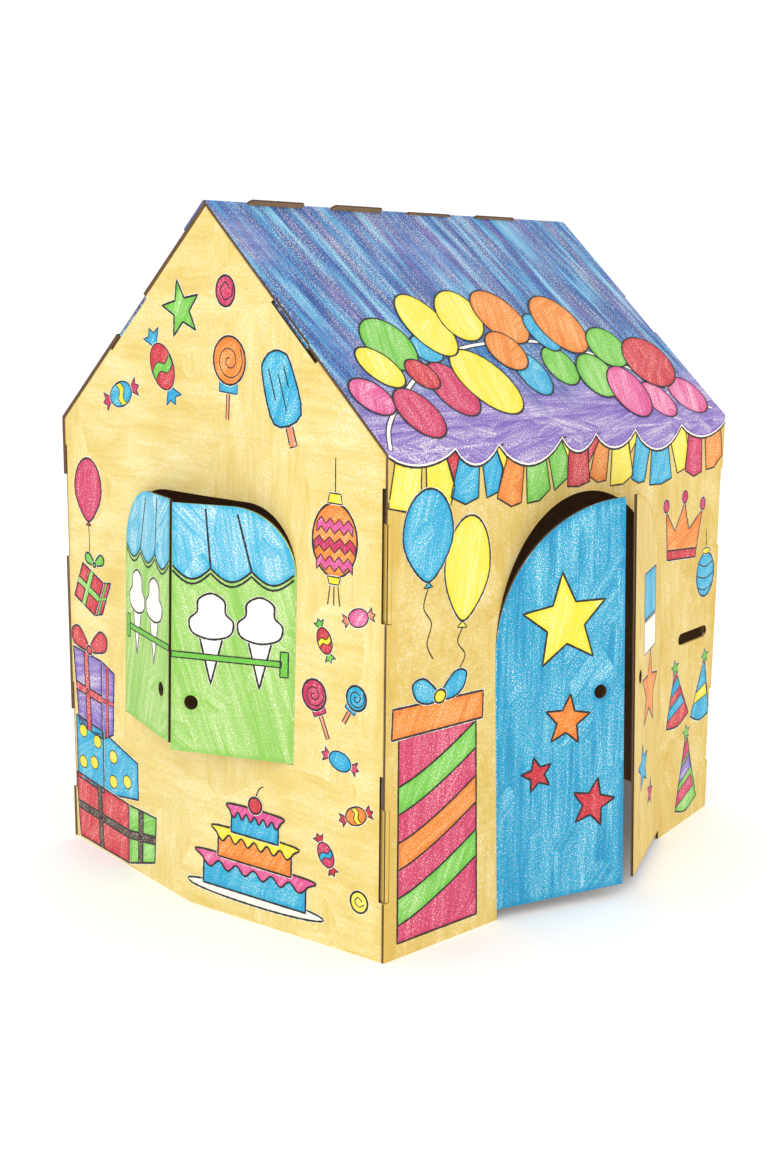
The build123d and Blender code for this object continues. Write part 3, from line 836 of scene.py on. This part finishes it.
# %% Valance, flags and balloon swag
VALANCE = ((-500, 20), (-344, 29), (-233, 39), (-57, 27), (45, 28), (172, 41), (333, 27), (500, 0))
FLAGS = (
    ("yellow", [(-486, 806), (-424, 806), (-426, 721), (-500, 738)]),
    ("yellow", [(-415, 812), (-369, 812), (-345, 756), (-356, 727), (-411, 723)]),
    ("red", [(-368, 812), (-332, 812), (-332, 800), (-345, 763)]),
    ("sky", [(-331, 812), (-283, 800), (-286, 734), (-319, 726), (-355, 741)]),
    ("sky", [(-278, 800), (-241, 812), (-221, 769), (-235, 738), (-265, 731)]),
    ("yellow", [(-241, 812), (-222, 815), (-212, 790), (-220, 773)]),
    ("orange", [(-213, 806), (-162, 794), (-173, 714), (-200, 710), (-238, 728)]),
    ("green", [(-159, 795), (-107, 800), (-91, 729), (-122, 712), (-157, 711)]),
    ("green", [(-101, 800), (-60, 815), (-39, 779), (-41, 743), (-79, 725)]),
    ("yellow", [(-62, 814), (-44, 814), (-36, 788), (-40, 779)]),
    ("red", [(-36, 808), (17, 806), (27, 731), (-7, 725), (-41, 728)]),
    ("red", [(20, 806), (56, 814), (54, 800), (23, 763)]),
    ("orange", [(52, 814), (90, 800), (78, 728), (50, 727), (26, 740)]),
    ("yellow", [(98, 800), (145, 806), (166, 730), (132, 716), (91, 717)]),
    ("yellow", [(147, 806), (182, 814), (178, 794), (157, 770)]),
    ("sky", [(178, 812), (226, 790), (205, 715), (184, 713), (161, 723)]),
    ("sky", [(230, 790), (283, 792), (300, 712), (262, 704), (222, 706)]),
    ("yellow", [(289, 796), (344, 814), (357, 771), (349, 726), (321, 719)]),
    ("rose", [(362, 806), (410, 798), (414, 714), (384, 707), (351, 721)]),
    ("orange", [(420, 798), (478, 812), (493, 740), (462, 718), (431, 716)]),
)
SWAG = (
    (-238, 211, 74, 64, 11, "sky"), (-247, 119, 122, 98, 88, "rose"), (-321, 225, 122, 113, 62, "green"),
    (-381, 175, 97, 77, -58, "yellow"), (-447, 115, 86, 75, -41, "pink"),
    (-369, 74, 108, 91, -83, "rose"),
    (-295, 155, 70, 64, -57, "red"), (-149, 130, 157, 128, -68, "yellow"),
    (-193, 266, 150, 109, -87, "yellow"),
    (-87, 287, 140, 105, 48, "yellow"), (-6, 142, 109, 81, 74, "sky"), (25, 282, 137, 127, 88, "orange"),
    (-32, 198, 100, 93, 39, "orange"), (91, 156, 102, 85, 56, "green"), (113, 240, 97, 76, -89, "sky"),
    (185, 259, 155, 135, 69, "orange"), (281, 195, 124, 99, 29, "green"), (177, 126, 124, 97, 42, "green"),
    (313, 56, 92, 86, 76, "pink"), (422, 60, 108, 96, 9, "pink"), (237, 81, 138, 104, 56, "pink"),
    (380, 151, 160, 127, 24, "red"),
)
STRING = [
    (-490, 8), (-450, 60), (-343, 133), (-246, 181), (-118, 214), (63, 219), (201, 187), (290, 145),
    (360, 90), (470, 20),
]


def slide(start, end, share):
    return start + (end - start) * share


def valance_edge(steps=9):
    """The scalloped lower edge, which hangs a little lower towards the right."""
    edge = []
    for (left, drop), (right, _) in zip(VALANCE, VALANCE[1:]):
        for step in range(steps):
            share = step / steps
            u = slide(left, right, share)
            edge.append((u, slide(815, 806, (u + 500) / 1000) - drop * math.sin(math.pi * share) ** 0.75))
    edge.append((500, 806))
    return edge


front = Canvas("front_sheet", on_front, "crayoned_front")
for index, (finish, flag) in enumerate(FLAGS):
    front.shape(flag, finish, level=index % 2, halo=False, width=3.0)
scallops = valance_edge()
front.fill(scallops + [(500, 860), (-500, 860)], "violet", level=2)
front.ribbon([(u, v + 3.4) for u, v in scallops], 3.0, "paper", LIFTS["fill"] + 2.2 * LEVEL)
front.line(scallops, level=2)

on_roof = [(u, up_slope + roof_foot) for u, up_slope in smooth(STRING)]
front.ribbon(on_roof, 10.0, "ink", LIFTS["fill"] + 2.6 * LEVEL)
front.ribbon(on_roof, 6.0, "paper", LIFTS["fill"] + 2.8 * LEVEL)
hung = []
for u, up_slope, length, width, tilt, finish in SWAG:
    below = [level for x, y, reach, level in hung if math.hypot(x - u, y - up_slope) < (reach + length) / 2]
    level = max(below, default=2) + 1
    hung.append((u, up_slope, length, level))
    front.shape(oval((u, up_slope + roof_foot), length, width, tilt), finish, level, halo=False)
print(len(FLAGS), "flags and", len(SWAG), "balloons")

# %% [markdown]
# ## The front wall's drawing
# To the left of the door two balloons float over a tall wrapped box, and to its right hang paper
# party things. All of them are plain outlines in plain colours.

# %% Balloons and the tall box
balloon(front, (-408, 686), 118, 148, "sky", level=3)
balloon(front, (-314, 622), 112, 172, "yellow", tilt=-8, level=2)
front.line(smooth([(-408, 602), (-418, 572), (-400, 544), (-410, 512), (-396, 486)]), 2.4)
front.line(smooth([(-326, 526), (-338, 504), (-320, 480), (-334, 456), (-322, 430)]), 2.4)

BOX_LEFT, BOX_RIGHT, BOX_FOOT, BOX_TOP = -472, -294, 26, 372


def box_stripe(low):
    """A band that climbs to the right across the whole box."""
    lower = [(slide(BOX_LEFT, BOX_RIGHT, i / 6), low + 74 * (i / 6) ** 1.3) for i in range(7)]
    return lower + [(u, v + 46) for u, v in reversed(lower)]


box = [(BOX_LEFT, BOX_FOOT), (BOX_RIGHT, BOX_FOOT), (BOX_RIGHT, BOX_TOP), (BOX_LEFT, BOX_TOP)]
front.shape(box, "rose", halo=False)
for low, finish in ((56, "green"), (150, "orange"), (244, "green")):
    front.shape(box_stripe(low), finish, level=1, halo=False)
front.shape([(-488, 370), (-278, 366), (-276, 412), (-486, 420)], "orange", level=2)
for side in (-1, 1):
    loop = [(0, 0), (side * 34, 34), (side * 62, 30), (side * 54, 4), (side * 26, -8)]
    front.shape(smooth(turned(loop, (-380, 422)), True), "sky", level=3)
front.shape(oval((-380, 422), 26, 22), "yellow", level=4)

# %% Hats and ornaments on the right
def party_hat(canvas, at, width, height, finish, bands, tilt=0.0):
    """A paper cone with slanting bands and a star at its tip."""
    cone = [(-0.5, 0), (0, 1)] + smooth([(0.5, 0), (0.0, -0.1), (-0.5, 0)], steps=4)[:-1]
    canvas.shape(turned(cone, at, tilt, (width, height)), finish)
    for low, band in bands:
        half_low, half_high = 0.5 * (1 - low), 0.5 * (1 - low - 0.2)
        strip = [
            (-half_low, low), (half_low * 0.72, low + 0.14), (half_high * 0.6, low + 0.34),
            (-half_high, low + 0.2),
        ]
        canvas.shape(turned(strip, at, tilt, (width, height)), band, level=1, halo=False, width=2.2)
    tip = turned([(0, 1.02)], at, tilt, (width, height))[0]
    canvas.shape(star_outline(tip, 17, 10), "green", level=2, width=2.2)


CROWN_AT, CROWN_TILT, CROWN_SIZE = (350, 600), -8, 1.3
crown = turned(
    [(-42, -42), (-56, 30), (-26, 2), (-4, 46), (16, 6), (52, 38), (44, -36)],
    CROWN_AT, CROWN_TILT, CROWN_SIZE,
)
band = turned([(-42, -42), (44, -36), (45, -22), (-45, -28)], CROWN_AT, CROWN_TILT, CROWN_SIZE)
front.shape(crown, "orange", width=3.0)
front.shape(band, "red", level=1, halo=False, width=3.0)
for u, v in (crown[1], crown[3], crown[5]):
    front.shape(oval((u, v + 10), 21, 25), "rose", level=1, width=2.6)
BAUBLE = (446, 504)
front.shape(oval(BAUBLE, 72, 90), "sky")
for low in (-24, 0, 24):
    reach = 34 * math.sqrt(1 - (low / 46) ** 2)
    height = BAUBLE[1] + low
    arc = [(BAUBLE[0] - reach, height), (BAUBLE[0], height - 8), (BAUBLE[0] + reach, height)]
    front.line(smooth(arc), 2.4)
front.shape(oval((BAUBLE[0], BAUBLE[1] + 48), 30, 13), "yellow", level=1, width=2.4)
front.line([(BAUBLE[0], BAUBLE[1] + 54), (BAUBLE[0] - 3, BAUBLE[1] + 92)], 2.4)
party_hat(front, (346, 222), 98, 110, "red", ((0.12, "sky"), (0.5, "sky")), 8)
party_hat(front, (448, 212), 88, 118, "sky", ((0.2, "yellow"),), -6)
party_hat(front, (396, 36), 102, 150, "green", ((0.04, "rose"), (0.34, "violet"), (0.6, "rose")), 3)
front.make()

# %% [markdown]
# ## The gables' drawing
# Sweets are scattered over the gable and beside the window, a lantern hangs from a string, parcels are
# piled at the left and a tiered cake stands at the foot.

# %% Sweets, lantern, parcels and cake
def parcel(canvas, corners, side_corners, finish, side_finish, ribbon):
    """A wrapped box seen at an angle: a front face, a side face and a crossed ribbon."""
    canvas.shape(side_corners, side_finish, level=0)
    canvas.shape(corners, finish, level=1)
    for (ax, ay), (bx, by), (cx, cy), (dx, dy) in (corners, side_corners):
        across = [slide(ax, dx, 0.5), slide(ay, dy, 0.5)], [slide(bx, cx, 0.5), slide(by, cy, 0.5)]
        upright = [slide(ax, bx, 0.45), slide(ay, by, 0.45)], [slide(dx, cx, 0.45), slide(dy, cy, 0.45)]
        size = min(18, 0.24 * (bx - ax))
        for strap in (across, upright):
            canvas.ribbon(strap, size, "ink", LIFTS["ink"] + 1.3 * LEVEL)
            canvas.ribbon(strap, size * 0.65, ribbon, LIFTS["ink"] + 1.6 * LEVEL)


def bow(canvas, at, size, finish, level=2):
    for side in (-1, 1):
        loop = [(0, 0), (side * 0.5, 0.62), (side * 0.9, 0.5), (side * 0.8, 0.08)]
        canvas.shape(smooth(turned(loop, at, 0, size), True), finish, level)
    canvas.shape(oval(at, size * 0.3, size * 0.26), finish, level + 1)


def dotted(canvas, centres, size, finish, level):
    for at in centres:
        canvas.shape(oval(at, size, size * 0.9), finish, level, halo=False, width=1.8)


def tiered_cake(canvas, at, size):
    """Three round tiers on a stand, with icing that runs down each."""
    x, y = at
    canvas.shape(oval((x, y), size * 2.3, size * 0.2), "paper", level=0)
    tiers = ((0.86, 0.42, "sky", "pink"), (0.62, 0.38, "orange", "yellow"), (0.4, 0.34, "sky", "pink"))
    floor = y + size * 0.02
    for level, (half, height, finish, icing) in zip((1, 3, 5), tiers):
        half, height = half * size, height * size
        body = [(x - half, floor), (x + half, floor), (x + half, floor + height), (x - half, floor + height)]
        canvas.shape(body, finish, level)
        drips = [(x - half - 4, floor + height + 5)]
        for i in range(13):
            drop = 0.42 if i % 2 else 0.16
            drips.append((slide(x - half - 4, x + half + 4, i / 12), floor + height * (1 - drop)))
        drips.append((x + half + 4, floor + height + 5))
        canvas.shape(smooth(drips, True, 4), icing, level + 1, halo=False)
        floor += height
    canvas.shape(oval((x, floor + size * 0.1), size * 0.22, size * 0.22), "red", level=7)
    stalk = [(x, floor + size * 0.2), (x + 6, floor + size * 0.32), (x + 16, floor + size * 0.38)]
    canvas.line(smooth(stalk), 2.2)


def gable_drawing(wall, side):
    """The drawing of one gable sheet."""
    canvas = Canvas(wall + "_gable_sheet", on_gable(side), "crayoned_gable")
    canvas.shape(oval((48, 1056), 46, 50), "rose")
    canvas.line(smooth([(58, 1060), (48, 1070), (36, 1058), (46, 1042), (64, 1050), (66, 1066)]), 2.2)
    canvas.shape(star_outline((-64, 1024), 50, 12, 0.42), "green")
    sweet(canvas, (-116, 926), 88, "red", "sky", -62, "green")
    sweet(canvas, (-232, 872), 66, "sky", "rose", 20, "yellow")
    lollipop(canvas, (56, 944), 78, "orange", -94, 1.25, "sky")
    ice = [(-32, -54), (32, -54), (34, 30), (20, 52), (0, 58), (-20, 52), (-34, 30)]
    canvas.shape(turned([(-8, -98), (8, -98), (8, -50), (-8, -50)], (176, 908), 18), "tan", width=3.0)
    canvas.shape(turned(smooth(ice, True, 4), (176, 908), 18), "sky", level=1)
    for across, low, high in ((-17, -18, 34), (2, -40, 20), (18, -6, 30)):
        canvas.line(turned([(across, low), (across, high)], (176, 908), 18), 2.6, level=1)

    balloon(canvas, (-335, 690), 82, 118, "rose")
    canvas.line([(-335, 624), (-333, 590), (-336, 560)], 1.8)
    red_parcel = [turned(face, (-334, 508), -24) for face in (
        [(-38, -42), (34, -42), (34, 30), (-38, 30)], [(34, -42), (54, -26), (54, 42), (34, 30)],
    )]
    parcel(canvas, *red_parcel, "red", "rose", "green")
    bow(canvas, (-318, 552), 32, "green")

    parcel(
        canvas, [(-382, 234), (-300, 222), (-300, 372), (-396, 384)],
        [(-300, 222), (-262, 238), (-258, 356), (-300, 372)], "violet", "violet", "red",
    )
    bow(canvas, (-340, 386), 64, "red")
    canvas.shape([(-296, 116), (-176, 136), (-180, 204), (-296, 236)], "sky")
    canvas.shape([(-392, 126), (-296, 116), (-296, 236), (-392, 250)], "sky", level=1)
    dotted(canvas, [(-368, 222), (-330, 168), (-370, 160), (-318, 212)], 27, "yellow", 2)
    dotted(canvas, [(-262, 196), (-214, 160), (-262, 148)], 27, "yellow", 1)
    parcel(
        canvas, [(-388, 6), (-206, 6), (-208, 118), (-398, 134)],
        [(-206, 6), (-118, 34), (-116, 118), (-208, 118)], "red", "green", "brown",
    )

    canvas.line([(300, 806), (300, 748)], 2.2)
    canvas.shape([(284, 734), (316, 734), (312, 750), (288, 750)], "yellow", level=1, width=2.4)
    canvas.shape(oval((300, 676), 96, 118), "orange")
    for offset, finish in ((-30, "pink"), (0, "rose"), (30, "pink")):
        half = 44 * math.sqrt(1 - (offset / 62) ** 2)
        wave = [(300 - half + 2 * half * i / 8, 676 + offset + (5 if i % 2 else -5)) for i in range(9)]
        wave += [(u, v - 15) for u, v in reversed(wave)]
        canvas.shape(wave, finish, level=1, halo=False, width=2.0)
    canvas.shape([(286, 618), (314, 618), (310, 606), (290, 606)], "yellow", level=1, width=2.4)
    for across in (-8, 0, 8):
        canvas.line([(300 + across, 606), (300 + across * 1.6, 572)], 2.2)

    sweet(canvas, (352, 560), 44, "pink", "tan", 18)
    sweet(canvas, (282, 512), 46, "red", "green", -66, "yellow")
    lollipop(canvas, (262, 420), 50, "rose", -66, 1.5)
    lollipop(canvas, (350, 430), 40, "sky", -120, 1.3, "sky")
    sweet(canvas, (318, 320), 48, "sky", "rose", -12)
    sweet(canvas, (352, 236), 46, "orange", "red", 24, "yellow")
    sweet(canvas, (292, 156), 46, "rose", "red", -60, "sky")
    canvas.shape(oval((360, 92), 34, 36), "yellow")
    canvas.line(smooth([(366, 94), (358, 100), (352, 92), (360, 84), (370, 90)]), 2.0)
    tiered_cake(canvas, (140, 42), 130)
    canvas.make()


for wall, side in WALLS:
    gable_drawing(wall, side)

# %% [markdown]
# ## Leaves of the door and windows
# The leaves are cut from their walls and turn on a crease. The left door leaf is solid blue with stars,
# the right one wall yellow, and the shutters are green under a striped awning. Each fill covers the
# leaf's whole printed face, and leaves out the finger hole.

# %% Outline of a leaf
LEAF_GAP = 1.5
CREASE_MARGIN = 2.4     # a fill keeps this far off the crease, and clears the wall when folded back
FINGER_HOLE = 25.0
FACE_INSET = 0.25       # a fill stops just short of the board's edge
ARC_STEPS = 16


def leaf_outline(width, height, shoulder):
    """A leaf with its rounded corner at the crease side, as a closed outline."""
    left, right = CREASE_MARGIN, width - LEAF_GAP / 2 - FACE_INSET
    foot, top = LEAF_GAP + FACE_INSET, height - LEAF_GAP - FACE_INSET
    reach = shoulder - LEAF_GAP
    arc = []
    for i in range(ARC_STEPS + 1):
        turn = math.pi / 2 * i / ARC_STEPS
        arc.append((left + reach - reach * math.cos(turn), top - reach + reach * math.sin(turn)))
    return [(right, foot), (right, top), *reversed(arc), (left, foot)]


DOOR_LEAF, DOOR_HEIGHT = 257.0, 698.0
leaves = {      # each leaf's joint, the way it points when closed, and how far up its crease runs
    "door_leaf_left": ("door_left_crease", Vector((1, 0, 0)), DOOR_HEIGHT - DOOR_LEAF),
    "door_leaf_right": ("door_right_crease", Vector((-1, 0, 0)), DOOR_HEIGHT - DOOR_LEAF),
}
door_outline = leaf_outline(DOOR_LEAF, DOOR_HEIGHT, DOOR_LEAF)
door_hole = oval((207, 361), FINGER_HOLE, FINGER_HOLE)
door = Canvas("door_leaf_left", on_leaf(*leaves["door_leaf_left"][:2]), "crayoned_door_left")
door.fill(door_outline, "door_blue", holes=[door_hole])
for at, radius, angle, finish in (
    ((136, 492), 86, 4, "yellow"), ((140, 318), 47, -8, "orange"),
    ((80, 230), 32, 12, "red"), ((192, 162), 46, -14, "red"),
):
    door.shape(star_outline(at, radius, angle), finish, level=1, halo=False)
door.make()

plain = Canvas("door_leaf_right", on_leaf(*leaves["door_leaf_right"][:2]), "crayoned_door_right")
plain.fill(door_outline, "wall_yellow", holes=[door_hole])
for at, radius, angle, finish in (
    ((116, 316), 78, 6, "orange"), ((172, 182), 46, -10, "sky"), ((100, 112), 27, 14, "rose"),
):
    plain.shape(star_outline(at, radius, angle), finish, level=1)
plain.shape([(62, 456), (172, 456), (172, 542), (62, 542)], "sky", level=1, width=3.0)
plain.shape([(62, 392), (172, 392), (172, 452), (62, 452)], "paper", level=1, width=2.4)
plain.make()

# %% Shutters with an awning
SHUTTER, SHUTTER_HEIGHT, SHOULDER = 220.0, 422.0, 115.0
SILL = 293.0
AWNING = 316.0          # how far up the shutter the awning's scallops meet


def shutter_closed(side, label):
    """Direction from a shutter's crease to the window's middle, in the plane that it closes to."""
    wall, middle = on_gable(side), SILL + SHUTTER_HEIGHT / 2
    crease = side * (-SHUTTER if label == "front" else SHUTTER)
    return wall(0, middle, 0) - wall(crease, middle, 0)


def shutter_drawing(node, closed):
    """A green shutter with half of a striped awning and a rack of plain cones."""
    canvas = Canvas(node, on_leaf(node + "_crease", closed), "crayoned_shutter")
    outline = leaf_outline(SHUTTER, SHUTTER_HEIGHT, SHOULDER)
    canvas.fill(outline, "shutter_green", holes=[oval((183, 87), FINGER_HOLE, FINGER_HOLE)])
    edge = []
    for left, right in ((5, 78), (78, 150), (150, 218)):
        edge += [(slide(left, right, i / 8), AWNING - 20 * math.sin(math.pi * i / 8)) for i in range(8)]
    edge.append((218, AWNING))
    top = [p for p in outline if p[1] > AWNING]
    canvas.fill(edge + top, "awning_blue", level=1)
    canvas.line([(x, y - 8) for x, y in edge], level=1)
    canvas.line(edge, level=1)
    canvas.line([(78, AWNING), (104, 408)], level=1)
    canvas.line([(150, AWNING), (160, 414)], level=1)
    for across in (62, 148):
        canvas.shape(turned([(-22, 0), (22, 0), (0, -84)], (across, 206)), "paper", level=1)
        scoop = [
            (-30, 0), (-34, 18), (-22, 30), (-20, 48), (0, 58), (20, 48), (22, 30), (34, 18), (30, 0),
            (10, -8), (-10, -8),
        ]
        canvas.shape(smooth(turned(scoop, (across, 208), 0, 1.15), True, 4), "paper", level=2)
    rack = [(24, 162), (219, 162), (219, 172), (24, 172)]
    canvas.shape(rack, "green", level=3, halo=False, width=2.2)
    canvas.shape([(12, 146), (26, 146), (26, 188), (12, 188)], "green", level=3, halo=False, width=2.2)
    canvas.make()


for wall, side in WALLS:
    for label in ("front", "back"):
        node, closed = f"{wall}_shutter_{label}", shutter_closed(side, label)
        leaves[node] = (node + "_crease", closed, SHUTTER_HEIGHT - SHOULDER)
        shutter_drawing(node, closed)

# %% [markdown]
# ## The leaves' boards
# Each leaf's board gets the same two-sided finish as the walls. Its printed face is the one that looks
# out when the leaf is closed, so its direction is worked out from the crease it turns on.

# %% Leaf boards
LEAF_WAX = {"door_leaf_left": "door_blue", "door_leaf_right": "wall_yellow"}


def leaf_board(node, joint_name, closed):
    """The finish of one leaf's board."""
    place_on = on_leaf(joint_name, closed)
    foot = place_on(0, 0, 0)
    outwards = (place_on(0, 0, 1) - foot).normalized()
    across = (place_on(1, 0, 0) - foot).normalized()
    light, deep, cover, _ = CRAYONS[LEAF_WAX.get(node, "shutter_green")]

    def wax(tree, place):
        return crayon_wax(tree, place, linear(light), linear(deep), cover)

    def depth(tree, place):
        out = add(tree, "VectorMath", {0: place, 1: outwards}, out="Value", operation="DOT_PRODUCT")
        return add(tree, "Math", {0: foot.dot(outwards), 1: out}, operation="SUBTRACT")

    dress(node, board("crayoned_board_" + node, wax, [outwards], depth, across))


for node, (joint_name, closed, _) in leaves.items():
    leaf_board(node, joint_name, closed)
print("finished", len(leaves), "leaves")

# %% [markdown]
# ## Creases
# A leaf is one piece with its wall, so its bare liner runs on across the crease. The strip below is that
# liner: it lies on the wall's inside, turns about the crease, and ends on the inside of the leaf.

# %% Liner across each crease
CREASE_REACH = 4.0       # how far the strip lies on the wall and on the leaf
CREASE_DEPTH = BOARD + 0.5
CREASE_STEPS = 14
liner, liner_tree = new_tree("kraft_liner_at_a_crease")
liner_place = add(liner_tree, "TexCoord", out="Object")
liner_side = add(liner_tree, "VectorMath", {0: liner_place, 1: ALONG_X}, out="Value", operation="DOT_PRODUCT")
liner_colour, liner_height = raw_board(liner_tree, liner_place, 0.0, liner_side)
finish_surface(liner_tree, liner_colour, ROUGH_PAPER, liner_height, BOARD_RELIEF)


def crease(joint_name, closed, low, high):
    """A strip of liner from the wall to a leaf, between two heights on the crease."""
    joint, axis, upwards, closed = hinge(joint_name, closed)
    outwards = axis.cross(closed)
    points = []
    for step in range(CREASE_STEPS + 1):
        share = step / CREASE_STEPS
        ajar = -joint["range_deg"][0] * share * share * (3 - 2 * share)
        turn = Matrix.Rotation(math.radians(ajar), 3, axis)
        flat = closed * slide(-CREASE_REACH, CREASE_REACH, share) - outwards * CREASE_DEPTH
        points += [Vector(joint["pos_m"]) + (turn @ flat + upwards * height) * MM for height in (low, high)]
    mesh = bpy.data.meshes.new(joint_name + "_liner")
    mesh.from_pydata(points, [], [(i, i + 1, i + 3, i + 2) for i in range(0, 2 * CREASE_STEPS, 2)])
    mesh.polygons.foreach_set("use_smooth", [True] * CREASE_STEPS)
    mesh.materials.append(liner)
    strip = bpy.data.objects.new(joint_name + "_liner", mesh)
    bpy.context.scene.collection.objects.link(strip)
    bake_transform(strip)


for joint_name, closed, crease_top in leaves.values():
    crease(joint_name, closed, LEAF_GAP, crease_top)
print(len(leaves), "creases carry their liner")

# %% [markdown]
# ## Studio
# A white floor that runs out of sight, as for a catalogue picture. An even white sky gives most of the
# light, a broad soft light at the left of the camera models the folds, and a weak one at the right fills.

# %% Floor and light
floor_mesh = bpy.data.meshes.new("floor")
floor_mesh.from_pydata([(-40, -40, 0), (40, -40, 0), (40, 40, 0), (-40, 40, 0)], [], [(0, 1, 2, 3)])
floor = bpy.data.objects.new("floor", floor_mesh)
bpy.context.scene.collection.objects.link(floor)
floor_paint, floor_tree = new_tree("white_studio_floor")
floor_shader = add(floor_tree, "BsdfPrincipled", {
    "Base Color": linear("#FDFDFC"), "Roughness": 0.9,
    "Emission Color": linear("#FFFFFF"), "Emission Strength": 0.1,
})
add(floor_tree, "OutputMaterial", {"Surface": floor_shader})
floor_mesh.materials.append(floor_paint)


def soft_light(name, place, size, watts):
    """A square soft box that looks at the middle of the house."""
    light = bpy.data.lights.new(name, "AREA")
    light.size = size
    light.energy = watts
    lamp = bpy.data.objects.new(name, light)
    lamp.location = place
    lamp.rotation_euler = (TARGET - Vector(place)).to_track_quat("-Z", "Y").to_euler()
    bpy.context.scene.collection.objects.link(lamp)


soft_light("key_light", (-3.4, -2.0, 1.9), 2.6, 26)
soft_light("fill_light", (2.0, -3.4, 1.6), 3.0, 5)
world = bpy.data.worlds.new("studio")
world.use_nodes = True
world.node_tree.nodes["Background"].inputs["Color"].default_value = linear("#FFFFFF")
world.node_tree.nodes["Background"].inputs["Strength"].default_value = 1.06
bpy.context.scene.world = world
bpy.context.scene.view_settings.view_transform = "Standard"
